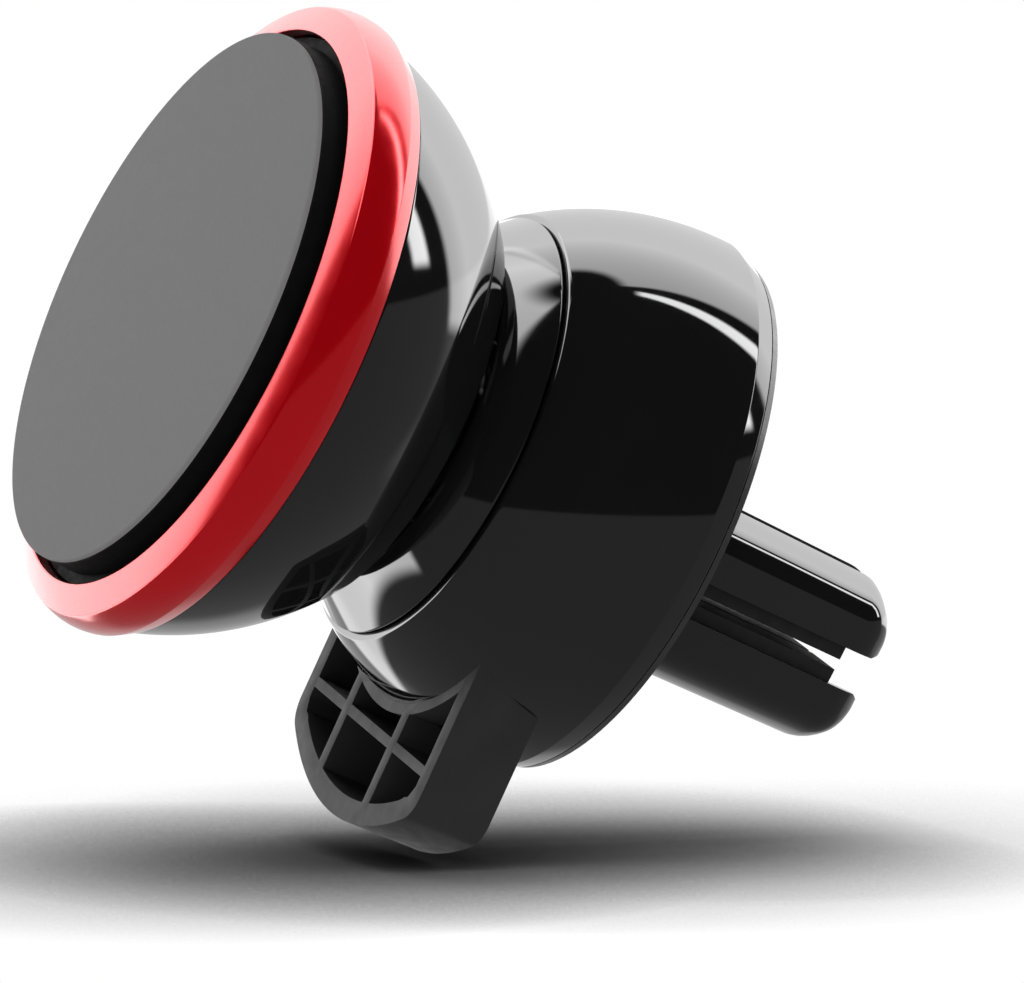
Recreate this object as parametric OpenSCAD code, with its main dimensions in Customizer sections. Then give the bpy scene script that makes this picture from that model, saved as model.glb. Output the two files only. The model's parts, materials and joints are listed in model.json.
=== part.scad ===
// Magnetic air-vent phone mount: a round magnet head on a ball joint, a barrel with a
// ribbed brace foot below it, and a four-prong clip that grips a vent louvre.
//
// Frame: +Y points out of the clip into the vent, -Y is the side that faces the driver,
// +Z is up. The origin is on the clip's centre line at the back face of the barrel, where
// the louvre's front edge stops. Every piece is mirror-symmetric about X = 0.
// Stations along the barrel's axis are counted from the front of the pad.

/* [Head] */
// Outer diameter of the accent ring
head_d = 41.8; // [41.6:0.1:43]
// Diameter of the grip pad
pad_d = 35.6; // [35:0.1:36]
// How far the pad's face stands in front of the ring
pad_proud = 1.5; // [1.3:0.1:1.7]
// Width of the accent ring along the axis
ring_w = 4.4; // [4.2:0.1:4.6]
// Diameter of each disc magnet
magnet_d = 10; // [8:0.5:10]
// Number of disc magnets round the tray
magnet_count = 6; // [3,6]

/* [Ball joint] */
// Diameter of the ball
ball_d = 14; // [13:0.5:14]
// Station of the ball's centre behind the pad's face
ball_s = 24; // [23.9:0.1:24.2]
// Diameter of the neck between ball and head
neck_d = 6.4; // [5.6:0.2:6.6]
// Running clearance of the ball and its liner
ball_gap = 0.05; // [0.04:0.01:0.1]

/* [Barrel] */
// Largest diameter of the barrel
barrel_d = 36.1; // [36:0.1:37]
// Height of the barrel's axis above the clip's centre line
barrel_axis_z = 2.65; // [2.2:0.05:3]
// Distance from the pad's face to the back of the barrel
body_back = 34; // [34:0.5:36]

/* [Brace foot] */
// Width of the foot
foot_w = 25; // [23:0.5:26]
// Radius of the foot's bottom about the barrel's axis
foot_r = 24.9; // [24.5:0.1:27]
// Thickness of the foot along the axis
foot_t = 5; // [4:0.25:5.5]
// Angle that the foot leans back, in degrees
foot_lean = 2.5; // [0:0.5:4]
// Distance of each upright rib from the middle of the foot
rib_x = 4.7; // [4:0.1:5.5]

/* [Vent clip] */
// Width of the clip where it leaves the barrel
clip_w = 11; // [10:0.5:12]
// Height of the clip where it leaves the barrel
clip_h = 12.2; // [11:0.2:12.4]
// Reach of the prongs behind the barrel
clip_reach = 18.7; // [15:0.1:22]
// Width of each cross slot between bare prongs
slot_w = 2.5; // [2.2:0.1:3.2]
// Thickness of the rubber that lines the slots
lining_t = 0.9; // [0.4:0.05:0.9]

/* [Hidden] */
$fn = 96;

eps = 0.01;
far = 60;
// clearance between fixed pieces that drop into one another
fit = 0.1;
// clearance round a screw's shank in the hole that it threads into
thread_gap = 0.02;

// head, stations from the pad's face backwards
pad_r = pad_d/2;
film_t = 0.35;
pad_back = 2.3;
tray_front = 2.5;
tray_skin = 0.6;
magnet_t = 2;
magnet_s = tray_front + tray_skin + 0.05;
yoke_s = 5.2;
yoke_t = 1;
tray_back = yoke_s + yoke_t;
tray_r = pad_r - fit;
tray_flange_t = 1.6;
yoke_r = tray_r - 0.9;
magnet_pitch_r = tray_r - magnet_d/2 - 1.5;
tray_screw_pitch_r = 15;
tray_screw_r = 1;
tray_head_r = 1.9;
tray_head_h = 1;

ring_r = head_d/2;
ring_front = pad_proud + 0.03;
ring_gap = 0.8;
ring_slope = 0.425;
ring_crown_r = 3.4;
ring_back = ring_front + ring_w;
ring_lip = 1.5;
ring_bore_r = pad_r + ring_gap;
tray_flange_r = ring_bore_r - fit;
ring_counterbore_r = ring_bore_r + 0.95;

// head shell, a spherical bowl with a recess centred on the ball
shell_r = 20.75;
shell_centre_s = 0.65;
shell_front = ring_back + 0.02;
shell_back = 16.35;
shell_t = 1.8;
recess_r = 15;
hub_r = 6.5;
hub_front = 9.6;
hub_back = 13.4;
hub_pocket_r = 5.2;
spigot_r = 3;
spigot_gap = 0.05;

// ball stud and the screw that keeps the head on it
ball_r = ball_d/2;
neck_r = neck_d/2;
ball_flat = 4.6;
flange_r = 4.6;
flange_front = hub_back + 0.1;
flange_t = 1;
stud_front = hub_front - 0.1;
stud_screw_r = 1.25;
washer_t = 0.4;
screw_head_h = 1.6;

// liner, collar and rear seat
liner_in_r = ball_r + ball_gap;
liner_out_r = liner_in_r + 0.75;
liner_half = 5;
seat_r = liner_out_r + ball_gap;
collar_front = 17.5;
collar_front_r = 11.7;
collar_back = 20.4;
collar_back_r = 14.2;
collar_lip_r = 5.9;
collar_mouth_r = 8.4;
skirt_r = 12.9;
skirt_bore_r = 10.5;
skirt_back = 29.9;
seat_back = 28.4;

// barrel
barrel_r = barrel_d/2;
barrel_front = collar_back + 0.1;
barrel_back = body_back - 0.5;
crown_s = 32.2;
crown_arc_r = 20.5;
shoulder_slope = 0.36;
barrel_bore_r = skirt_r + fit;
ledge_s = 30.2;
rear_bore_r = 16.3;
plate_t = 1;
plate_back = ledge_s + plate_t;

// screws in the barrel
chassis_pitch_r = 11.7;
chassis_screw_r = 0.7;
chassis_tip_s = 25.5;
cover_pitch_r = 14.6;
cover_screw_r = 0.75;
cover_tip_s = 26;
small_head_r = 1.4;
small_head_h = 0.8;

// foot
foot_front = 25.2;
foot_corner_r = 2;
foot_side_border = 1.4;
foot_bottom_border = 1.5;
foot_back_wall = 1;
pocket_top_r = 17.5;
rib_t = 1.1;
shelf_t = 0.7;
shelf_drop = 18.6;

// rear cover and clip
cover_rim_t = 0.45;
cover_inner_s = plate_back + 1.4;
flange_half = 7;
clip_flange_t = 1.2;
clip_flange_s = plate_back + 0.1;
slot_root = 0.4;
clip_taper = 0.93;
prong_crown_r = 9;
prong_edge_r = 2.2;
prong_tip_r = 2.6;
slot_flare = 0.5;
lining_short = 2.9;

// The barrel's axis as a local Z axis that runs backwards from the pad's face.
module on_axis()
    translate([0, -body_back, barrel_axis_z])
        rotate([-90, 0, 0])
            children();

// Solid ring or disc between two stations.
module disc(r, s0, s1, bore = 0)
    translate([0, 0, s0])
        difference() {
            cylinder(r = r, h = s1 - s0);
            if (bore > 0)
                translate([0, 0, -eps]) cylinder(r = bore, h = s1 - s0 + 2*eps);
        }

// Three places round the axis, one of them straight below it.
module three_round(pitch_r)
    for (turn = [90, 210, 330])
        rotate(turn) translate([pitch_r, 0, 0]) children();

// Three places round the axis, one of them straight above it.
module three_round_up(pitch_r)
    for (turn = [30, 150, 270])
        rotate(turn) translate([pitch_r, 0, 0]) children();

// Screw with a round head at the station s_head and its tip at s_tip, with a cross recess.
module screw(r, head_r, head_h, s_head, s_tip) {
    dir = s_tip > s_head ? 1 : -1;
    recess = head_r*0.35;
    translate([0, 0, s_head]) scale([1, 1, dir]) {
        difference() {
            cylinder(r = head_r, h = head_h);
            for (turn = [0, 90])
                rotate(turn)
                    translate([-head_r*0.6, -recess/2, -eps])
                        cube([head_r*1.2, recess, head_h*0.5]);
        }
        translate([0, 0, head_h - eps])
            cylinder(r = r, h = abs(s_tip - s_head) - head_h + eps);
    }
}

// ---- head ----

// Thin matt skin that the phone touches.
module face_film()
    color("#767676") on_axis() disc(pad_r - 0.05, 0, film_t);

// Rubber disc under the skin, with the black edge that stands in front of the ring.
module grip_pad()
    color("#101010") on_axis() disc(pad_r, film_t, pad_back);

// Double-sided tape that holds the pad on the tray.
module pad_tape()
    color("#d8d8d0") on_axis() disc(pad_r - 0.5, pad_back, tray_front);

// Places of the magnets round the tray.
module magnet_places()
    for (i = [0 : magnet_count - 1])
        rotate(i*360/magnet_count) translate([magnet_pitch_r, 0, 0]) children();

// Moulded disc with a pocket for each magnet and a shallow recess for the yoke plate.
module magnet_tray()
    color("#1c1c1c") on_axis() difference() {
        union() {
            disc(tray_r, tray_front, tray_back);
            disc(tray_flange_r, tray_front, tray_front + tray_flange_t);
        }
        disc(yoke_r + fit, yoke_s, tray_back + eps);
        magnet_places()
            disc(magnet_d/2 + fit, tray_front + tray_skin, yoke_s + eps);
        three_round(tray_screw_pitch_r) {
            disc(tray_head_r + fit, tray_front - eps, tray_front + tray_head_h);
            disc(tray_screw_r + fit, tray_front, tray_back);
        }
    }

// Disc magnets.
module magnets()
    color("#b8bcc0") on_axis() magnet_places()
        disc(magnet_d/2, magnet_s, magnet_s + magnet_t);

// Steel plate that closes the magnetic circuit behind the magnets.
module yoke_plate()
    color("#8a8d90") on_axis() difference() {
        disc(yoke_r, yoke_s, yoke_s + yoke_t, 2);
        three_round(tray_screw_pitch_r)
            disc(tray_screw_r + 0.15, yoke_s - eps, tray_back + eps);
    }

// Screws that pull the tray down on the shell's bosses.
module tray_screws()
    color("#9a9a9a") on_axis() three_round(tray_screw_pitch_r)
        screw(tray_screw_r, tray_head_r, tray_head_h, tray_front, 9.4);

// Anodised ring: sloped front, crowned band, chamfered back and a lip over the tray's edge.
module accent_ring()
    color("#c00010") on_axis() rotate_extrude() intersection() {
        back_chamfer = 1.1;
        polygon([
            [ring_bore_r, ring_front],
            [ring_r, ring_front + ring_slope*(ring_r - ring_bore_r)],
            [ring_r, ring_back - back_chamfer],
            [ring_r - 0.7, ring_back],
            [ring_counterbore_r, ring_back],
            [ring_counterbore_r, ring_front + ring_lip],
            [ring_bore_r, ring_front + ring_lip]
        ]);
        translate([ring_r - ring_crown_r, (ring_front + ring_back)/2 + 0.2])
            circle(r = ring_crown_r);
    }

// Gloss bowl behind the ring. Its back is hollowed about the ball's centre so that it
// can tilt over the collar, and a hub in the middle turns on the ball stud.
module head_shell()
    color("#0c0c0c") on_axis() difference() {
        union() {
            difference() {
                translate([0, 0, shell_centre_s]) sphere(shell_r);
                disc(far, -far, shell_front);
                disc(far, shell_back, far);
                // inside of the bowl, in front of the wall round the recess
                difference() {
                    translate([0, 0, shell_centre_s]) sphere(shell_r - shell_t);
                    translate([0, 0, ball_s]) sphere(recess_r + shell_t);
                }
                translate([0, 0, ball_s]) sphere(recess_r);
            }
            disc(hub_r, 7.6, hub_back);
            disc(ring_counterbore_r - 0.05, ring_front + ring_lip + 0.07, shell_front + 1,
                 tray_flange_r + 0.15);
            three_round(tray_screw_pitch_r) disc(2.1, tray_back + 0.1, 11.8);
        }
        disc(hub_pocket_r, tray_back, hub_front);
        disc(spigot_r + spigot_gap, hub_front - 1, hub_back + 1);
        three_round(tray_screw_pitch_r)
            disc(tray_screw_r + thread_gap, tray_back, 10);
    }

// ---- ball joint ----

// Ball, neck and the spigot that the head's hub turns on.
module ball_stud()
    color("#5a5c60") on_axis() difference() {
        union() {
            difference() {
                translate([0, 0, ball_s]) sphere(ball_r);
                disc(ball_d, ball_s + ball_flat, ball_s + ball_d);
            }
            disc(neck_r, flange_front, ball_s - ball_r + 2);
            disc(flange_r, flange_front, flange_front + flange_t);
            disc(spigot_r, stud_front, flange_front + eps);
        }
        disc(stud_screw_r + thread_gap, stud_front - 1, 17.5);
    }

// Washer that keeps the hub on its spigot.
module swivel_washer()
    color("#a9abad") on_axis()
        disc(flange_r, stud_front - 0.03 - washer_t, stud_front - 0.03, stud_screw_r + 0.1);

// Screw along the middle of the spigot.
module swivel_screw()
    color("#9a9a9a") on_axis()
        screw(stud_screw_r, 2.6, screw_head_h,
              stud_front - 0.05 - washer_t - screw_head_h, 16.5);

// Thin nylon shell round the ball, open at the neck and at the back.
module ball_liner()
    color("#e8e4d8") on_axis() difference() {
        translate([0, 0, ball_s]) sphere(liner_out_r);
        translate([0, 0, ball_s]) sphere(liner_in_r);
        disc(far, ball_s - ball_d, ball_s - liner_half);
        disc(far, ball_s + liner_half, ball_s + ball_d);
    }

// ---- barrel ----

// Bevelled collar with the front half of the socket, and a skirt inside the barrel.
module socket_collar()
    color("#0e0e0e") on_axis() difference() {
        rotate_extrude() polygon([
            [0, collar_front],
            [collar_front_r - 0.25, collar_front],
            [collar_front_r, collar_front + 0.25],
            [collar_back_r, collar_back],
            [skirt_r, collar_back],
            [skirt_r, skirt_back],
            [0, skirt_back]
        ]);
        translate([0, 0, ball_s]) sphere(seat_r);
        disc(skirt_bore_r, ball_s, far);
        lip_s = ball_s - sqrt(seat_r^2 - collar_lip_r^2);
        translate([0, 0, collar_front - eps])
            cylinder(r1 = collar_mouth_r, r2 = collar_lip_r, h = lip_s - collar_front + eps);
        translate([0, 0, lip_s - eps]) cylinder(r = collar_lip_r, h = 1);
        three_round(chassis_pitch_r)
            disc(chassis_screw_r + thread_gap, chassis_tip_s - 0.5, skirt_back + 1);
    }

// Cup that presses the liner on the ball from behind.
module rear_seat()
    color("#cfcabb") on_axis() difference() {
        disc(skirt_bore_r - fit, ball_s + 0.25, seat_back);
        translate([0, 0, ball_s]) sphere(seat_r);
    }

// Disc spring between the cup and the chassis plate.
module seat_spring()
    color("#80868c") on_axis() rotate_extrude() {
        rise = ledge_s - seat_back - 0.6;
        thick = 0.5;
        polygon([
            [7.2, seat_back + 0.05],
            [10.2, seat_back + 0.05 + rise],
            [10.2, seat_back + 0.05 + rise + thick],
            [7.2, seat_back + 0.05 + thick]
        ]);
    }

// Plate that closes the socket and clamps the collar to the barrel.
module chassis_plate()
    color("#8a8d90") on_axis() difference() {
        disc(rear_bore_r - fit, ledge_s, plate_back);
        three_round(chassis_pitch_r)
            disc(chassis_screw_r + fit, ledge_s - eps, plate_back + eps);
        three_round_up(cover_pitch_r)
            disc(cover_screw_r + fit, ledge_s - eps, plate_back + eps);
    }

// Screws that draw the collar back against the chassis plate.
module chassis_screws()
    color("#9a9a9a") on_axis() three_round(chassis_pitch_r)
        screw(chassis_screw_r, small_head_r, small_head_h,
              plate_back + small_head_h, chassis_tip_s);

// Front view of a foot outline: straight sides, a bottom struck about the barrel's axis
// and a rounded corner where they meet. The barrel's axis is the 2-D origin, +Y is down.
module foot_outline(half_w, bottom_r, corner_r) {
    corner_x = half_w - corner_r;
    corner_y = sqrt((bottom_r - corner_r)^2 - corner_x^2);
    reach = 1.1*bottom_r/(bottom_r - corner_r);
    difference() {
        intersection() {
            circle(r = bottom_r);
            translate([-half_w, 0]) square([2*half_w, bottom_r + 1]);
        }
        for (side = [-1, 1])
            scale([side, 1]) difference() {
                polygon([
                    [corner_x, corner_y],
                    [half_w + 1, corner_y],
                    [half_w + 1, corner_y*reach],
                    [corner_x*reach, corner_y*reach]
                ]);
                translate([corner_x, corner_y]) circle(r = corner_r);
            }
    }
}

// Turns the foot back about the top edge of its front face.
module lean_back()
    translate([0, pocket_top_r, foot_front])
        rotate([foot_lean, 0, 0])
            translate([0, -pocket_top_r, 0])
                children();

// Blind pockets in the foot's front, between two uprights and a shelf.
module foot_pockets()
    translate([0, 0, -far])
        linear_extrude(far + foot_t - foot_back_wall)
            difference() {
                foot_outline(foot_w/2 - foot_side_border, foot_r - foot_bottom_border, 1);
                circle(r = pocket_top_r);
                for (side = [-1, 1])
                    translate([side*rib_x - rib_t/2, 0]) square([rib_t, foot_r]);
                translate([-foot_w/2, shelf_drop]) square([foot_w, shelf_t]);
            }

// Radius, at a station, of the cone that the bevelled shoulder lies on.
function shoulder_r(s) = barrel_r - shoulder_slope*(s - crown_s);

// Outline of the barrel's outside: a long crown, cut off by the bevelled shoulder behind it.
module barrel_profile()
    intersection() {
        translate([barrel_r - crown_arc_r, crown_s]) circle(r = crown_arc_r);
        polygon([
            [0, barrel_front],
            [shoulder_r(barrel_front), barrel_front],
            [shoulder_r(barrel_back), barrel_back],
            [0, barrel_back]
        ]);
    }

// Barrel with a crowned outside, and the foot moulded in one piece with it.
module body_shell()
    color("#0a0a0a") on_axis() difference() {
        union() {
            rotate_extrude() barrel_profile();
            lean_back() linear_extrude(foot_t)
                foot_outline(foot_w/2, foot_r, foot_corner_r);
        }
        lean_back() foot_pockets();
        disc(barrel_bore_r, barrel_front - 1, ledge_s + 1);
        disc(rear_bore_r, ledge_s, far);
        three_round_up(cover_pitch_r)
            disc(cover_screw_r + thread_gap, cover_tip_s - 0.5, ledge_s + 1);
    }

// Disc that closes the barrel's back, with a window for the clip's root.
module rear_cover()
    color("#101010") on_axis() difference() {
        union() {
            disc(rear_bore_r - fit, cover_inner_s, body_back);
            translate([0, 0, body_back - cover_rim_t])
                cylinder(r1 = shoulder_r(body_back - cover_rim_t), r2 = shoulder_r(body_back),
                         h = cover_rim_t);
            three_round_up(cover_pitch_r) disc(1.5, plate_back + 0.05, cover_inner_s + eps);
        }
        translate([0, barrel_axis_z, plate_back]) linear_extrude(far)
            offset(delta = fit) prong_section();
        three_round_up(cover_pitch_r) {
            disc(cover_screw_r + fit, plate_back, body_back);
            disc(small_head_r + fit, body_back - small_head_h - 0.1, body_back + eps);
        }
    }

// Screws through the rear cover into the barrel's ledge.
module cover_screws()
    color("#8a8a8a") on_axis() three_round_up(cover_pitch_r)
        screw(cover_screw_r, small_head_r, small_head_h, body_back - 0.1, cover_tip_s);

// ---- vent clip ----

// Rectangle with true arcs at its corners, centred.
module rounded_rect(w, h, r) {
    square([w - 2*r, h], center = true);
    square([w, h - 2*r], center = true);
    for (x = [-1, 1], y = [-1, 1])
        translate([x*(w/2 - r), y*(h/2 - r)]) circle(r = r);
}

// Cross-section of the clip: flat sides, crowned top and bottom, and rounded edges.
module prong_section()
    offset(r = prong_edge_r) offset(delta = -prong_edge_r) intersection() {
        square([clip_w, clip_h], center = true);
        translate([0, clip_h/2 - prong_crown_r]) circle(r = prong_crown_r);
        translate([0, prong_crown_r - clip_h/2]) circle(r = prong_crown_r);
    }

// Long outline whose far end has rounded corners, wide enough to spare what lies before them.
module rounded_end(width) {
    translate([0, clip_reach - far/2]) rounded_rect(width, far, prong_tip_r);
    translate([-far/2, clip_reach - prong_tip_r - far]) square([far, far]);
}

// Bar from the barrel's back to the prongs' tips, tapered and rounded at its tip.
module prong_bar() {
    root_y = clip_flange_s - body_back;
    long = clip_reach - root_y;
    shrink = clip_taper + (1 - clip_taper)*prong_tip_r/long;
    intersection() {
        translate([0, root_y, 0]) rotate([-90, 0, 0])
            linear_extrude(long, scale = clip_taper) prong_section();
        translate([far/2, 0, 0]) rotate([0, -90, 0])
            linear_extrude(far) rounded_end(shrink*clip_h);
        translate([0, 0, -far/2]) linear_extrude(far) rounded_end(shrink*clip_w);
    }
}

// Cross slot: a level and an upright gap that widen at the mouth.
module cross_slot(width, root, mouth, flare)
    for (turn = [0, 90])
        rotate([0, turn, 0]) {
            translate([-far/2, root, -width/2]) cube([far, mouth - root + 1, width]);
            if (flare > 0)
                translate([-far/2, mouth, 0]) rotate([0, 90, 0]) linear_extrude(far)
                    polygon([
                        [-width/2 - flare, 1], [-width/2 - flare, 0], [-width/2, -2*flare],
                        [width/2, -2*flare], [width/2 + flare, 0], [width/2 + flare, 1]
                    ]);
        }

// Four prongs on one root, with a flange that is trapped inside the rear cover.
module clip_post()
    color("#181818") {
        difference() {
            prong_bar();
            cross_slot(slot_w, slot_root, clip_reach, slot_flare);
        }
        translate([0, clip_flange_s - body_back + clip_flange_t, 0])
            rotate([90, 0, 0]) linear_extrude(clip_flange_t)
                rounded_rect(2*flange_half, 2*flange_half, 1);
    }

// Rubber angle along the two inner faces of each prong.
module louvre_pads()
    color("#2a2a2a") {
        in_x = slot_w/2;
        leg_x = clip_w*clip_taper/2 - 0.5;
        leg_z = clip_h*clip_taper/2 - 0.5;
        front_y = slot_root + 0.3;
        long = clip_reach - lining_short - front_y;
        for (sx = [-1, 1], sz = [-1, 1])
            scale([sx, 1, sz])
                translate([0, front_y, 0]) {
                    translate([in_x - lining_t, 0, in_x - lining_t])
                        cube([lining_t, long, leg_z - in_x + lining_t]);
                    translate([in_x - lining_t, 0, in_x - lining_t])
                        cube([leg_x - in_x + lining_t, long, lining_t]);
                }
    }

face_film();
grip_pad();
pad_tape();
magnet_tray();
magnets();
yoke_plate();
tray_screws();
accent_ring();
head_shell();
ball_stud();
swivel_washer();
swivel_screw();
ball_liner();
socket_collar();
rear_seat();
seat_spring();
chassis_plate();
chassis_screws();
body_shell();
rear_cover();
cover_screws();
clip_post();
louvre_pads();
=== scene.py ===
"""Studio scene of a magnetic car phone mount: a round magnet head with a red metal ring, a ball
joint, a crowned barrel with a ribbed brace foot, and a four-prong clip for an air-vent louvre."""
import json
import math

import bmesh
import bpy
from mathutils import Matrix, Vector


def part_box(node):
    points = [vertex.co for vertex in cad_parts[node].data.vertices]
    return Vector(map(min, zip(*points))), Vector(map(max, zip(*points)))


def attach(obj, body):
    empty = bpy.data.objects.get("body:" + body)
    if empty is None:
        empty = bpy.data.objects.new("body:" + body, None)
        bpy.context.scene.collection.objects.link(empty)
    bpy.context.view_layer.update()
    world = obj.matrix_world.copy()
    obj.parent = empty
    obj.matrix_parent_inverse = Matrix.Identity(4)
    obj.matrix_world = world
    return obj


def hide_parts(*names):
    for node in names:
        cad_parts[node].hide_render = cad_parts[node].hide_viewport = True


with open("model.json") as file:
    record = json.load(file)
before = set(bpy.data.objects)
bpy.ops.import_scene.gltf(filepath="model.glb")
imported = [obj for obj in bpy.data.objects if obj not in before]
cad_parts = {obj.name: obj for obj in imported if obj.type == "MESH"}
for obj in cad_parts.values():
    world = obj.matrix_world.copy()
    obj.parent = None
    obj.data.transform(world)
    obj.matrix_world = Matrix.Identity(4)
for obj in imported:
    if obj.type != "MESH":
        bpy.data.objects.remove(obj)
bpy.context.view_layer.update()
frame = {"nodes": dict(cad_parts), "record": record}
NODES = frame["nodes"]

MM = 0.001
LATHE_STEPS = 256


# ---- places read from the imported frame, in millimetres ----

def box_mm(node):
    """Lowest and highest corner of a CAD node in millimetres."""
    lo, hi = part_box(node)
    return [v / MM for v in lo], [v / MM for v in hi]


FILM_LO, FILM_HI = box_mm("face_film")
PAD_HI = box_mm("grip_pad")[1]
RING_LO, RING_HI = box_mm("accent_ring")
SHELL_LO, SHELL_HI = box_mm("head_shell")
COLLAR_LO = box_mm("socket_collar")[0]
CLIP_LO, CLIP_HI = box_mm("clip_post")

FACE_Y = FILM_LO[1]                      # the pad's face, from which stations are counted
AXIS_Z = (RING_LO[2] + RING_HI[2]) / 2   # height of the head's and the barrel's axis
BALL_S = 24.0                            # station of the ball's centre


def station(y):
    """Distance behind the pad's face."""
    return y - FACE_Y


# ---- mesh helpers ----

def link(name, mesh):
    """New object in the scene."""
    obj = bpy.data.objects.new(name, mesh)
    bpy.context.scene.collection.objects.link(obj)
    return obj


def mesh_object(name, verts, faces, sharp=35.0):
    """Closed mesh from millimetre points, with its normals outwards and smooth shading."""
    mesh = bpy.data.meshes.new(name)
    mesh.from_pydata([[c * MM for c in v] for v in verts], [], faces)
    mesh.validate()
    bm = bmesh.new()
    bm.from_mesh(mesh)
    bmesh.ops.recalc_face_normals(bm, faces=bm.faces)
    bm.to_mesh(mesh)
    bm.free()
    obj = link(name, mesh)
    smooth(obj, sharp)
    return obj


def smooth(obj, angle=35.0):
    """Smooth shading that keeps edges sharper than the angle."""
    mesh = obj.data
    for poly in mesh.polygons:
        poly.use_smooth = True
    bm = bmesh.new()
    bm.from_mesh(mesh)
    limit = math.radians(angle)
    for e in bm.edges:
        e.smooth = len(e.link_faces) == 2 and e.calc_face_angle(0.0) < limit
    bm.to_mesh(mesh)
    bm.free()


def fillet(points, radii, steps=6):
    """Closed outline with each corner rounded to its own radius."""
    out = []
    n = len(points)
    for i in range(n):
        p = Vector(points[i])
        a = Vector(points[i - 1]) - p
        b = Vector(points[(i + 1) % n]) - p
        r = radii[i] if hasattr(radii, "__len__") else radii
        turn = a.angle(b, math.pi)
        if r <= 0 or turn > math.radians(178):
            out.append(tuple(p))
            continue
        trim = min(r / math.tan(turn / 2), a.length * 0.49, b.length * 0.49)
        r = trim * math.tan(turn / 2)
        centre = p + (a.normalized() + b.normalized()).normalized() * (r / math.sin(turn / 2))
        start = p + a.normalized() * trim - centre
        end = p + b.normalized() * trim - centre
        sweep = start.angle(end)
        for k in range(steps + 1):
            t = k / steps
            w = (math.sin((1 - t) * sweep) * start + math.sin(t * sweep) * end) / math.sin(sweep)
            out.append(tuple(centre + w))
    return out


def arc(centre_s, centre_r, radius, s0, s1, steps):
    """Points (station, radius) on an arc about a centre, on its outer side."""
    pts = []
    for k in range(steps + 1):
        s = s0 + (s1 - s0) * k / steps
        pts.append((s, centre_r + math.sqrt(max(radius ** 2 - (s - centre_s) ** 2, 0))))
    return pts


def lathe(name, profile, steps=LATHE_STEPS, sharp=35.0):
    """Closed outline of (station, radius) turned about the common axis. A radius of 0 closes
    the form on the axis."""
    verts, rings = [], []
    for s, r in profile:
        y = FACE_Y + s
        if r < 1e-6:
            rings.append([len(verts)])
            verts.append((0, y, AXIS_Z))
            continue
        rings.append(list(range(len(verts), len(verts) + steps)))
        for k in range(steps):
            t = 2 * math.pi * k / steps
            verts.append((r * math.cos(t), y, AXIS_Z + r * math.sin(t)))
    faces = []
    for i, a in enumerate(rings):
        b = rings[(i + 1) % len(rings)]
        if len(a) == 1 and len(b) == 1:
            continue
        for k in range(steps):
            m = (k + 1) % steps
            if len(a) == 1:
                faces.append((a[0], b[k], b[m]))
            elif len(b) == 1:
                faces.append((a[k], a[m], b[0]))
            else:
                faces.append((a[k], a[m], b[m], b[k]))
    return mesh_object(name, verts, faces, sharp)


def prism(name, outline, s0, s1):
    """Outline of (x, down) extruded between two stations; down is measured from the axis."""
    n = len(outline)
    verts = []
    for s in (s0, s1):
        for x, down in outline:
            verts.append((x, FACE_Y + s, AXIS_Z - down))
    faces = [tuple(range(n)), tuple(range(2 * n - 1, n - 1, -1))]
    for k in range(n):
        m = (k + 1) % n
        faces.append((k, n + k, n + m, m))
    return mesh_object(name, verts, faces)


def apply_modifiers(obj):
    bpy.context.view_layer.update()
    graph = bpy.context.evaluated_depsgraph_get()
    mesh = bpy.data.meshes.new_from_object(obj.evaluated_get(graph))
    obj.modifiers.clear()
    obj.data = mesh


def cut(obj, cutters):
    """Subtracts the cutters from obj and removes them."""
    for c in cutters:
        mod = obj.modifiers.new("cut", "BOOLEAN")
        mod.operation = "DIFFERENCE"
        mod.solver = "EXACT"
        mod.object = c
    apply_modifiers(obj)
    for c in cutters:
        bpy.data.objects.remove(c)


def bevel(obj, width, angle):
    """Rounded edges, applied to the mesh, with smooth shading."""
    mod = obj.modifiers.new("bevel", "BEVEL")
    mod.width = width * MM
    mod.segments = 3
    mod.limit_method = "ANGLE"
    mod.angle_limit = math.radians(angle)
    mod.miter_outer = "MITER_ARC"
    apply_modifiers(obj)
    smooth(obj, 40)


# ---- materials ----

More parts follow.
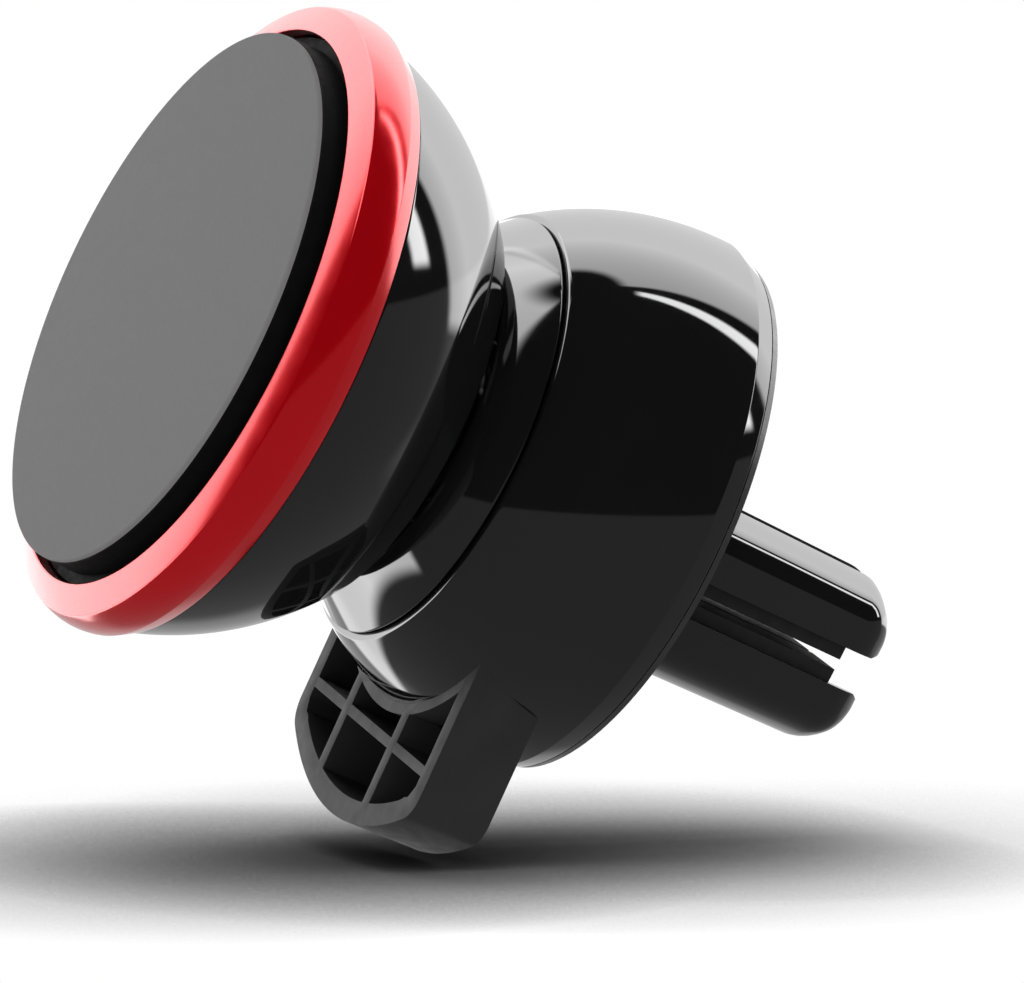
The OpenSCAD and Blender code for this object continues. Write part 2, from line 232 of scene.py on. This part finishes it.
class Nodes:
    """Short names for building one node tree."""

    def __init__(self, name):
        self.mat = bpy.data.materials.new(name)
        self.mat.use_nodes = True
        self.tree = self.mat.node_tree
        self.shader = self.tree.nodes["Principled BSDF"]
        self.coords = self.tree.nodes.new("ShaderNodeTexCoord").outputs["Object"]

    def add(self, kind, **values):
        node = self.tree.nodes.new(kind)
        for key, value in values.items():
            if key in node.inputs:
                node.inputs[key].default_value = value
            else:
                setattr(node, key, value)
        return node

    def wire(self, a, b):
        self.tree.links.new(a, b)

    def noise(self, scale_mm, detail=3.0, rough=0.5):
        """Noise whose largest lumps are about scale_mm across, in object space."""
        n = self.add("ShaderNodeTexNoise", Scale=1 / (scale_mm * MM), Detail=detail,
                     Roughness=rough)
        self.wire(self.coords, n.inputs["Vector"])
        return n.outputs["Fac"]

    def span(self, value, low, high):
        """Spreads the middle of a noise over low to high."""
        n = self.add("ShaderNodeMapRange")
        n.inputs["From Min"].default_value = 0.3
        n.inputs["From Max"].default_value = 0.7
        n.inputs["To Min"].default_value = low
        n.inputs["To Max"].default_value = high
        self.wire(value, n.inputs["Value"])
        return n.outputs["Result"]

    def blend(self, fac, a, b):
        n = self.add("ShaderNodeMix", data_type="RGBA")
        n.inputs[6].default_value = (*a, 1)
        n.inputs[7].default_value = (*b, 1)
        self.wire(fac, n.inputs[0])
        return n.outputs[2]

    def math(self, op, *values):
        n = self.add("ShaderNodeMath", operation=op)
        for k, v in enumerate(values):
            if isinstance(v, (int, float)):
                n.inputs[k].default_value = v
            else:
                self.wire(v, n.inputs[k])
        return n.outputs[0]

    def bump(self, height, distance_mm, strength=1.0, normal=None):
        n = self.add("ShaderNodeBump", Strength=strength, Distance=distance_mm * MM)
        self.wire(height, n.inputs["Height"])
        if normal is not None:
            self.wire(normal, n.inputs["Normal"])
        return n.outputs["Normal"]

    def radius(self):
        """Distance from the common axis in metres."""
        sep = self.add("ShaderNodeSeparateXYZ")
        self.wire(self.coords, sep.inputs[0])
        x = sep.outputs["X"]
        z = self.math("SUBTRACT", sep.outputs["Z"], AXIS_Z * MM)
        squares = self.math("ADD", self.math("MULTIPLY", x, x), self.math("MULTIPLY", z, z))
        return self.math("SQRT", squares)

    def colour(self, out):
        self.wire(out, self.shader.inputs["Base Color"])

    def rough(self, out):
        self.wire(out, self.shader.inputs["Roughness"])

    def normal(self, out):
        self.wire(out, self.shader.inputs["Normal"])


def gloss_black():
    n = Nodes("gloss_black")
    n.colour(n.blend(n.noise(6), (0.0035, 0.0035, 0.0038), (0.0055, 0.0055, 0.006)))
    n.rough(n.span(n.noise(2.5, 4), 0.025, 0.06))
    n.normal(n.bump(n.noise(5, 1), 0.004, 0.5))
    n.shader.inputs["IOR"].default_value = 1.5
    return n.mat


def satin_black():
    n = Nodes("satin_black")
    n.colour(n.blend(n.noise(3), (0.008, 0.008, 0.0085), (0.014, 0.014, 0.015)))
    n.rough(n.span(n.noise(1.2, 4), 0.28, 0.4))
    n.normal(n.bump(n.noise(0.12, 2), 0.006, 0.5))
    return n.mat


def foot_black():
    """Spark-eroded satin finish of the brace foot, duller than the barrel."""
    n = Nodes("foot_black")
    n.colour(n.blend(n.noise(3), (0.016, 0.016, 0.0165), (0.024, 0.024, 0.025)))
    n.rough(n.span(n.noise(1.2, 4), 0.38, 0.5))
    n.normal(n.bump(n.noise(0.15, 2), 0.006, 0.4))
    n.shader.inputs["Specular IOR Level"].default_value = 0.03
    return n.mat


def red_anodised():
    """Red anodised metal with fine turning marks round the axis."""
    n = Nodes("red_anodised")
    n.shader.inputs["Metallic"].default_value = 0.45
    n.shader.inputs["Specular IOR Level"].default_value = 0.1
    n.shader.inputs["Coat Weight"].default_value = 0.4
    n.shader.inputs["Coat Roughness"].default_value = 0.12
    n.colour(n.blend(n.noise(4), (0.38, 0.0, 0.003), (0.43, 0.0002, 0.005)))
    n.rough(n.span(n.noise(1.5, 4), 0.15, 0.22))
    pitch = 0.11 * MM
    turning = n.math("SINE", n.math("MULTIPLY", n.radius(), 2 * math.pi / pitch))
    n.normal(n.bump(turning, 0.0012, 0.35, n.bump(n.noise(0.2, 2), 0.003, 0.3)))
    return n.mat


def face_skin():
    n = Nodes("face_skin")
    n.colour(n.blend(n.noise(0.25, 4), (0.150, 0.150, 0.152), (0.170, 0.170, 0.172)))
    n.rough(n.span(n.noise(0.6, 3), 0.72, 0.86))
    n.normal(n.bump(n.noise(0.09, 2), 0.01, 0.5))
    n.shader.inputs["Specular IOR Level"].default_value = 0.02
    return n.mat


def pad_rubber():
    n = Nodes("pad_rubber")
    n.colour(n.blend(n.noise(1.0, 4), (0.0025, 0.0025, 0.0026), (0.005, 0.005, 0.005)))
    n.rough(n.span(n.noise(0.5, 3), 0.6, 0.8))
    n.normal(n.bump(n.noise(0.15, 3), 0.01, 0.5))
    n.shader.inputs["Specular IOR Level"].default_value = 0.02
    return n.mat


def lining_rubber():
    n = Nodes("lining_rubber")
    n.colour(n.blend(n.noise(0.8, 4), (0.010, 0.010, 0.010), (0.018, 0.018, 0.018)))
    n.rough(n.span(n.noise(0.5, 3), 0.55, 0.75))
    n.normal(n.bump(n.noise(0.2, 3), 0.012, 0.6))
    n.shader.inputs["Specular IOR Level"].default_value = 0.05
    return n.mat


def tray_plastic():
    n = Nodes("tray_plastic")
    n.colour(n.blend(n.noise(2, 4), (0.006, 0.006, 0.006), (0.011, 0.011, 0.011)))
    n.rough(n.span(n.noise(0.7, 3), 0.5, 0.65))
    n.normal(n.bump(n.noise(0.15, 3), 0.008, 0.5))
    n.shader.inputs["Specular IOR Level"].default_value = 0.02
    return n.mat


def metal(name, dark, light, rough_low, rough_high, grain_mm):
    n = Nodes(name)
    n.shader.inputs["Metallic"].default_value = 1.0
    n.colour(n.blend(n.noise(1.5, 4), dark, light))
    n.rough(n.span(n.noise(grain_mm, 4), rough_low, rough_high))
    n.normal(n.bump(n.noise(grain_mm, 3), 0.003, 0.5))
    return n.mat


def nylon():
    n = Nodes("nylon")
    n.colour(n.blend(n.noise(2, 3), (0.74, 0.71, 0.61), (0.82, 0.79, 0.70)))
    n.rough(n.span(n.noise(1, 3), 0.35, 0.5))
    n.normal(n.bump(n.noise(0.3, 3), 0.005, 0.4))
    n.shader.inputs["Subsurface Weight"].default_value = 0.1
    n.shader.inputs["Subsurface Scale"].default_value = 0.0005
    return n.mat


def tape():
    n = Nodes("tape")
    n.colour(n.blend(n.noise(0.5, 4), (0.66, 0.66, 0.61), (0.78, 0.78, 0.74)))
    n.rough(n.span(n.noise(0.4, 3), 0.7, 0.9))
    n.normal(n.bump(n.noise(0.1, 3), 0.01, 0.5))
    return n.mat


MATS = {
    "gloss_black": gloss_black(),
    "satin_black": satin_black(),
    "foot_black": foot_black(),
    "red_anodised": red_anodised(),
    "face_skin": face_skin(),
    "pad_rubber": pad_rubber(),
    "lining_rubber": lining_rubber(),
    "tray_plastic": tray_plastic(),
    "magnet_nickel": metal("magnet_nickel", (0.56, 0.55, 0.52), (0.66, 0.65, 0.62), 0.12, 0.25, 0.6),
    "plate_steel": metal("plate_steel", (0.42, 0.42, 0.44), (0.55, 0.55, 0.57), 0.25, 0.42, 0.3),
    "screw_steel": metal("screw_steel", (0.36, 0.36, 0.37), (0.50, 0.50, 0.51), 0.22, 0.38, 0.2),
    "ball_steel": metal("ball_steel", (0.28, 0.28, 0.30), (0.38, 0.38, 0.40), 0.1, 0.22, 0.5),
    "spring_steel": metal("spring_steel", (0.26, 0.27, 0.29), (0.36, 0.37, 0.39), 0.25, 0.4, 0.3),
    "nylon": nylon(),
    "tape": tape(),
}


def finish_piece(obj, slot, body, *nodes, look=None):
    """Material, body and replaced nodes of a piece. look names a variant of the slot's finish."""
    obj.data.materials.clear()
    obj.data.materials.append(MATS[look or slot])
    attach(obj, body)
    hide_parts(*nodes)


# ---- head ----

def make_head():
    r_film = FILM_HI[0]
    film_back = station(FILM_HI[1])
    film = lathe("face_skin_disc", fillet(
        [(0, 0), (0, r_film), (film_back, r_film), (film_back, 0)], [0, 0.12, 0, 0]))
    finish_piece(film, "face_skin", "head", "face_film")

    r_pad = PAD_HI[0]
    pad_back = station(PAD_HI[1])
    pad = lathe("grip_pad_disc", fillet(
        [(film_back, 0), (film_back, r_pad), (pad_back, r_pad), (pad_back, 0)],
        [0, 0.14, 0.1, 0]))
    finish_piece(pad, "pad_rubber", "head", "grip_pad")

    front, back = station(RING_LO[1]), station(RING_HI[1])
    r_out = RING_HI[0]
    bore, lip_depth, lip_step = 18.6, 1.5, 0.95
    cone_slope = 0.425
    crown = 3.4
    crown_s = (front + back) / 2 + 0.2
    edge_r = r_out - 0.4
    edge_s = front + cone_slope * (edge_r - bore)
    band = arc(crown_s, r_out - crown, crown, edge_s, back - 1.1, 14)
    rear = [(back, r_out - 0.72), (back, bore + lip_step)]
    lip = [(front + lip_depth, bore + lip_step), (front + lip_depth, bore)]
    outline = [(front, bore)] + band + rear + lip
    radii = [0.12, 0.3] + [0] * (len(band) - 2) + [0.25, 0.25, 0.05, 0.05, 0.1]
    ring = lathe("accent_ring_metal", fillet(outline, radii, 5))
    finish_piece(ring, "red_anodised", "head", "accent_ring")


def make_dome():
    front, back = station(SHELL_LO[1]), station(SHELL_HI[1])
    centre, radius = 0.65, 20.75
    recess = 15.0                        # radius of the hollow about the ball's centre
    hub_r, hub_bore, hub_back, floor_s = 6.4, 4.7, 13.4, 9.0
    ring_back = station(RING_HI[1]) + 0.02
    outside = arc(centre, 0, radius, ring_back, back, 60)
    inside = []
    edge_r = math.sqrt(recess ** 2 - (BALL_S - back) ** 2)
    a0 = math.asin(edge_r / recess)
    a1 = math.asin(hub_r / recess)
    for k in range(31):
        a = a0 + (a1 - a0) * k / 30
        inside.append((BALL_S - recess * math.cos(a), recess * math.sin(a)))
    hub = [(hub_back, hub_r + 0.1), (hub_back, hub_bore), (floor_s, hub_bore)]
    seat = [(front + 3.2, 6), (front + 3.2, 17), (ring_back, 17.5)]
    outline = outside + inside + hub + seat
    radii = [0.1] + [0] * (len(outside) - 2) + [0.22, 0.15] + [0] * (len(inside) - 2) + [
        0, 0.3, 0.2, 0, 0, 0, 0]
    dome = lathe("head_dome", fillet(outline, radii, 5))
    finish_piece(dome, "gloss_black", "head", "head_shell")


# ---- barrel ----

def make_collar():
    front = station(COLLAR_LO[1])
    front_bore, front_r = 8.4, 11.7
    rim_s, rim_r = 20.4, 14.2
    skirt_r, skirt_bore, skirt_back = 12.9, 10.5, 29.9
    seat, lip_r = 7.85, 5.9              # the liner's seat about the ball, and its front opening
    lip_s = BALL_S - math.sqrt(seat ** 2 - lip_r ** 2)
    outline = [(front, front_bore), (front, front_r), (rim_s, rim_r), (rim_s, skirt_r),
               (skirt_back, skirt_r), (skirt_back, skirt_bore), (BALL_S, skirt_bore),
               (BALL_S, seat)]
    for k in range(1, 16):
        s = BALL_S + (lip_s - BALL_S) * k / 15
        outline.append((s, math.sqrt(max(seat ** 2 - (s - BALL_S) ** 2, 0))))
    radii = [0.15, 0.25, 0.14, 0.05, 0.1, 0.1, 0, 0] + [0] * 14 + [0.1]
    collar = lathe("socket_collar_bevel", fillet(outline, radii, 6))
    finish_piece(collar, "gloss_black", "barrel", "socket_collar")


def make_barrel():
    front, back = 20.5, 33.5
    r_max = 18.05
    crown_s, crown, shoulder_slope = 32.2, 20.5, 0.36
    cover_bore, cover_step_s, collar_bore = 16.3, 30.2, 13.0
    outside = arc(crown_s, r_max - crown, crown, front, crown_s, 60)
    rim = (back, r_max - shoulder_slope * (back - crown_s))
    inside = [(back, cover_bore), (cover_step_s, cover_bore), (cover_step_s, collar_bore),
              (front, collar_bore)]
    outline = outside + [rim] + inside
    radii = [0.7] + [0] * (len(outside) - 2) + [0.25, 0.1, 0.1, 0, 0, 0.2]
    barrel = lathe("barrel_skin", fillet(outline, radii, 6))
    finish_piece(barrel, "gloss_black", "barrel", "body_shell")


def foot_outline(half_w, bottom_r, corner_r, top_r):
    """Outline (x, down): straight sides, bottom arc about the axis, rounded corners, and a top
    edge that follows a smaller arc about the axis."""
    cx = half_w - corner_r
    cy = math.sqrt((bottom_r - corner_r) ** 2 - cx ** 2)
    tilt = math.atan2(cy, cx)
    right = []
    for k in range(9):
        a = tilt * k / 8
        right.append((cx + corner_r * math.cos(a), cy + corner_r * math.sin(a)))
    bottom = []
    steps = 40
    for k in range(1, steps):
        a = tilt + (math.pi - 2 * tilt) * k / steps
        bottom.append((bottom_r * math.cos(a), bottom_r * math.sin(a)))
    left = [(-x, y) for x, y in reversed(right)]
    top = []
    a0 = math.acos(-half_w / top_r)
    for k in range(25):
        a = a0 + (math.pi - 2 * a0) * k / 24
        top.append((top_r * math.cos(a), top_r * math.sin(a)))
    return right + bottom + left + top


def make_foot():
    front, thick = 25.2, 5.0
    lean, pivot_down = math.radians(2.5), 17.5
    pivot = Vector((0, (FACE_Y + front) * MM, (AXIS_Z - pivot_down) * MM))
    turn = Matrix.Translation(pivot) @ Matrix.Rotation(lean, 4, "X") @ Matrix.Translation(-pivot)
    foot = prism("brace_foot", foot_outline(12.5, 24.88, 2.0, 15.2), front, front + thick)
    cutters = []
    side, bottom, top_r, depth = 11.1, 23.4, 17.5, 4.0
    rib, half_rib = 4.7, 0.55
    shelf_top, shelf_bottom = 18.6, 19.3
    columns = [(-side, -rib - half_rib), (-rib + half_rib, rib - half_rib), (rib + half_rib, side)]

    def low(x):
        """Bottom of the pockets: an arc about the axis with corners of radius 1."""
        corner = side - 1
        cy = math.sqrt((bottom - 1) ** 2 - corner ** 2)
        if abs(x) > corner:
            return cy + math.sqrt(max(1 - (abs(x) - corner) ** 2, 0))
        return math.sqrt(bottom ** 2 - x ** 2)

    for index, (x0, x1) in enumerate(columns):
        xs = [x0 + (x1 - x0) * k / 12 for k in range(13)]
        lower = [(x, low(x)) for x in xs]
        lower = [(x0, shelf_bottom)] + lower + [(x1, shelf_bottom)]
        cutters.append(prism(f"pocket_low_{index}", lower, front - 1, front + depth))
        upper = [(x, math.sqrt(top_r ** 2 - x ** 2)) for x in reversed(xs)]
        upper = [(x0, shelf_top), (x1, shelf_top)] + upper
        cutters.append(prism(f"pocket_high_{index}", upper, front - 1, front + depth))
    cut(foot, cutters)
    bevel(foot, 0.3, 28)
    foot.data.transform(turn)
    finish_piece(foot, "gloss_black", "barrel", "body_shell", look="foot_black")


# ---- clip ----

def clip_section(half_x, half_z, scale):
    """Outline (x, z): flat sides, rounded edges and a crowned top and bottom."""
    edge, crown = 2.2, 9.0
    low = half_z - crown
    centre_x = half_x - edge
    centre_z = low + math.sqrt((crown - edge) ** 2 - centre_x ** 2)
    meet = math.atan2(centre_z - low, centre_x)
    quarter = []
    for k in range(9):
        a = meet * k / 8
        quarter.append((centre_x + edge * math.cos(a), centre_z + edge * math.sin(a)))
    for k in range(1, 6):
        a = meet + (math.pi / 2 - meet) * k / 6
        quarter.append((crown * math.cos(a), low + crown * math.sin(a)))
    right = [(x, -z) for x, z in reversed(quarter)] + quarter
    return [(x * scale, z * scale) for x, z in right + [(-x, -z) for x, z in right]]


def make_clip():
    half_x, half_z = 5.5, 6.1
    reach = CLIP_HI[1]
    root = CLIP_LO[1]
    taper, tip_r = 0.07, 2.6
    slot, flare = 1.25, 0.5              # half the slot's width, and its widening at the tip
    ys = [root + 1.2, 0.0, 5.0, 10.0]
    for k in range(13):
        a = math.pi / 2 * k / 12
        ys.append(reach - tip_r + tip_r * math.sin(a))
    verts, sections = [], []
    for y in ys:
        t = max(y - (reach - tip_r), 0)
        inset = tip_r - math.sqrt(max(tip_r ** 2 - t ** 2, 0))
        scale = 1 - taper * (y - root) / (reach - root) - inset / half_x
        ring = [(x, y, z) for x, z in clip_section(half_x, half_z, scale)]
        sections.append(list(range(len(verts), len(verts) + len(ring))))
        verts += ring
    faces = [tuple(sections[0]), tuple(reversed(sections[-1]))]
    for a, b in zip(sections, sections[1:]):
        for k in range(len(a)):
            m = (k + 1) % len(a)
            faces.append((a[k], a[m], b[m], b[k]))
    clip = mesh_object("vent_clip", verts, faces)
    one_side = [(slot, 0.4), (slot, reach - 1), (slot + flare, reach), (slot + flare, reach + 1)]
    outline = one_side + [(-w, y) for w, y in reversed(one_side)]
    n = len(outline)
    faces = [tuple(range(n)), tuple(range(2 * n - 1, n - 1, -1))]
    faces += [(k, n + k, n + (k + 1) % n, (k + 1) % n) for k in range(n)]
    past = 2 * half_z                    # how far the cutters reach to each side
    ends = (-past, past)
    level = [(end, y, w) for end in ends for w, y in outline]
    upright = [(w, y, end) for end in ends for w, y in outline]
    cut(clip, [mesh_object("slot_level", level, faces), mesh_object("slot_upright", upright, faces)])
    bevel(clip, 0.2, 35)
    finish_piece(clip, "gloss_black", "barrel", "clip_post")


def dress_cad():
    """Materials and soft edges for the CAD nodes that stay."""
    slots = {s["node"]: s["material_slot"] for s in frame["record"]["subparts"]}
    for name, obj in NODES.items():
        obj.data.materials.clear()
        obj.data.materials.append(MATS[slots[name]])
        if obj.hide_render:
            continue
        for poly in obj.data.polygons:
            poly.use_smooth = True
        mod = obj.modifiers.new("edges", "BEVEL")
        mod.width = (0.1 if name in ("louvre_pads", "rear_cover") else 0.05) * MM
        mod.segments = 2
        mod.limit_method = "ANGLE"
        mod.angle_limit = math.radians(35)
        mod.harden_normals = True


# ---- camera, light and floor ----

# the view: BACK points from the object to the camera, RIGHT and UP along the picture's sides
AZIMUTH, ELEVATION, ROLL = math.radians(67.6), math.radians(4.5), math.radians(26.917)
BACK = Vector((math.sin(AZIMUTH) * math.cos(ELEVATION), -math.cos(AZIMUTH) * math.cos(ELEVATION),
               math.sin(ELEVATION)))
LEVEL = Vector((math.cos(AZIMUTH), math.sin(AZIMUTH), 0))
UPWARD = BACK.cross(LEVEL)
RIGHT = math.cos(ROLL) * LEVEL + math.sin(ROLL) * UPWARD
UP = -math.sin(ROLL) * LEVEL + math.cos(ROLL) * UPWARD


# the floor in the reflections lies at this angle below the view, in degrees
REFLECTED_TILT = 8.0

# turn is counted from straight behind the object towards the right, lift above the horizon,
# both in degrees: (turn from, turn to, lift from, lift to, radiance, cap of the growth towards
# the sides or 0 for none, edge softness)
PANELS = [
    (-15, 68, -5, 78, 1.0, 6.5, 2.0),
    (78.5, 86.5, 8, 75, 18.0, 0, 1.5),
    (-81, -15, -8, 52, 1.0, 9.0, 2.5),
    (-150, -15, 50, 82, 1.0, 11.0, 4.0),
    (-105, -28, -30, -9, 1.0, 11.0, 2.0),
]


def tilted_normal(degrees):
    """Normal of a floor that is seen from the given angle above it."""
    return math.cos(math.radians(degrees)) * UP + math.sin(math.radians(degrees)) * BACK


def make_camera():
    distance, view_width = 900.0, 63.904     # millimetres, the width at the target
    cam = bpy.data.cameras.new("camera")
    cam.sensor_width = 36
    cam.lens = cam.sensor_width * distance / view_width
    cam.clip_start, cam.clip_end = 0.05, 5
    obj = link("camera", cam)
    target = Vector((0, -8, 0)) + RIGHT * 0.9538 + UP * 0.4445
    turn = Matrix((RIGHT, UP, BACK)).transposed().to_4x4()
    obj.matrix_world = Matrix.Translation((target + BACK * distance) * MM) @ turn
    bpy.context.scene.camera = obj


def make_world():
    """White surround for the eye, even light on matt surfaces, and a studio of soft boxes and
    a grey floor for the reflections. All directions are fixed in the object's frame."""
    world = bpy.data.worlds.new("studio")
    bpy.context.scene.world = world
    world.cycles.sampling_method = "NONE"    # matt surfaces then see only the even light
    world.use_nodes = True
    tree = world.node_tree
    tree.nodes.clear()

    def add(kind, **kw):
        n = tree.nodes.new(kind)
        for k, v in kw.items():
            setattr(n, k, v)
        return n

    def value(op, *args):
        n = add("ShaderNodeMath", operation=op)
        for k, a in enumerate(args):
            if isinstance(a, (int, float)):
                n.inputs[k].default_value = a
            else:
                tree.links.new(a, n.inputs[k])
        return n.outputs[0]

    def times(*args):
        product = args[0]
        for a in args[1:]:
            product = value("MULTIPLY", product, a)
        return product

    def inverse(x):
        return value("SUBTRACT", 1.0, x)

    way = add("ShaderNodeTexCoord").outputs["Generated"]

    def dot(v):
        n = add("ShaderNodeVectorMath", operation="DOT_PRODUCT")
        tree.links.new(way, n.inputs[0])
        n.inputs[1].default_value = v
        return n.outputs["Value"]

    per_radian = math.degrees(1)
    away = dot(-BACK)
    turn = times(value("ARCTAN2", dot(RIGHT), away), per_radian)
    lift = times(value("ARCSINE", dot(UP)), per_radian)

    def step(x, at, soft):
        """0 below the place, 1 above it, with a soft edge."""
        n = add("ShaderNodeMapRange", interpolation_type="SMOOTHSTEP")
        tree.links.new(x, n.inputs["Value"])
        n.inputs["From Min"].default_value = at - soft
        n.inputs["From Max"].default_value = at + soft
        return n.outputs["Result"]

    # the soft boxes grow brighter away from the direction straight behind the object
    spread = times(value("ARCCOSINE", away), per_radian)
    growth = times(value("EXPONENT", value("DIVIDE", spread, 29.0)), 0.95)

    def panel(t0, t1, l0, l1, power, cap, soft):
        across = times(step(turn, t0, soft), inverse(step(turn, t1, soft)))
        upward = times(step(lift, l0, soft), inverse(step(lift, l1, soft)))
        inside = times(across, upward)
        if cap:
            inside = times(inside, value("MINIMUM", growth, cap))
        return times(inside, power)

    # the reflected floor is grey, and lighter where it is lit behind the object
    dark_room, floor_grey, floor_lit = 0.02, 0.37, 0.5
    is_floor = inverse(step(dot(tilted_normal(REFLECTED_TILT)), 0.0, 0.012))
    off_middle = value("ABSOLUTE", value("SUBTRACT", turn, 15.0))
    behind = times(inverse(step(off_middle, 53.0, 4.0)), step(lift, -34.0, 6.0))
    ground = value("ADD", floor_grey, times(behind, floor_lit))
    total = value("ADD", times(is_floor, ground), dark_room)
    for spec in PANELS:
        total = value("ADD", total, panel(*spec))

    paths = add("ShaderNodeLightPath")
    glossy = add("ShaderNodeBackground")
    tree.links.new(total, glossy.inputs["Strength"])
    even = add("ShaderNodeBackground")
    even.inputs["Strength"].default_value = 1.4
    white = add("ShaderNodeBackground")
    white.inputs["Strength"].default_value = 1.25
    first = add("ShaderNodeMixShader")
    tree.links.new(paths.outputs["Is Diffuse Ray"], first.inputs[0])
    tree.links.new(glossy.outputs[0], first.inputs[1])
    tree.links.new(even.outputs[0], first.inputs[2])
    second = add("ShaderNodeMixShader")
    tree.links.new(paths.outputs["Is Camera Ray"], second.inputs[0])
    tree.links.new(first.outputs[0], second.inputs[1])
    tree.links.new(white.outputs[0], second.inputs[2])
    out = add("ShaderNodeOutputWorld")
    tree.links.new(second.outputs[0], out.inputs["Surface"])


def corners():
    """Vertices of the lowest parts: the foot and the clip."""
    points = []
    for name in ("brace_foot", "vent_clip"):
        points += [v.co for v in bpy.data.objects[name].data.vertices]
    return points


def make_floor():
    """Pale floor under the foot with a painted shadow: clear where nothing stands close above it, so
    that the white surround shows through, and dark where the object stands close above it, where an
    ambient-occlusion mask paints the shadow. Seen from below it is clear all over."""
    tilt, gap, half_size, contact = 5.5, 0.4 * MM, 1.5, 30 * MM
    normal = tilted_normal(tilt)
    base = normal * (min(c.dot(normal) for c in corners()) - gap)
    across, along = RIGHT * half_size, normal.cross(RIGHT) * half_size
    corner_signs = ((-1, -1), (1, -1), (1, 1), (-1, 1))
    mesh = bpy.data.meshes.new("floor")
    mesh.from_pydata([base + across * x + along * y for x, y in corner_signs], [], [(0, 1, 2, 3)])
    floor = link("floor", mesh)
    n = Nodes("floor")
    # painted shadow: the near-black colour that the ambient-occlusion mask lays on the floor under
    # the object
    n.colour(n.blend(n.noise(25), (0.008, 0.008, 0.008), (0.012, 0.012, 0.012)))
    n.shader.inputs["Roughness"].default_value = 0.9
    n.shader.inputs["Specular IOR Level"].default_value = 0.0
    # ambient occlusion paints the shadow: the floor goes dark where the object stands close above
    # it, and stays clear elsewhere
    painted_shadow_ao = n.add("ShaderNodeAmbientOcclusion", samples=12, Distance=contact)
    clear = n.add("ShaderNodeBsdfTransparent")
    mix = n.add("ShaderNodeMixShader")
    n.wire(n.math("POWER", painted_shadow_ao.outputs["AO"], 3.5), mix.inputs[0])
    n.wire(n.shader.outputs[0], mix.inputs[1])
    n.wire(clear.outputs[0], mix.inputs[2])
    n.wire(mix.outputs[0], n.tree.nodes["Material Output"].inputs["Surface"])
    mesh.materials.append(n.mat)
    floor.visible_glossy = False
    floor.visible_diffuse = False


make_head()
make_dome()
make_collar()
make_barrel()
make_foot()
make_clip()
dress_cad()
make_camera()
make_world()
make_floor()

bpy.context.scene.view_settings.view_transform = "Standard"
bpy.context.scene.view_settings.look = "None"
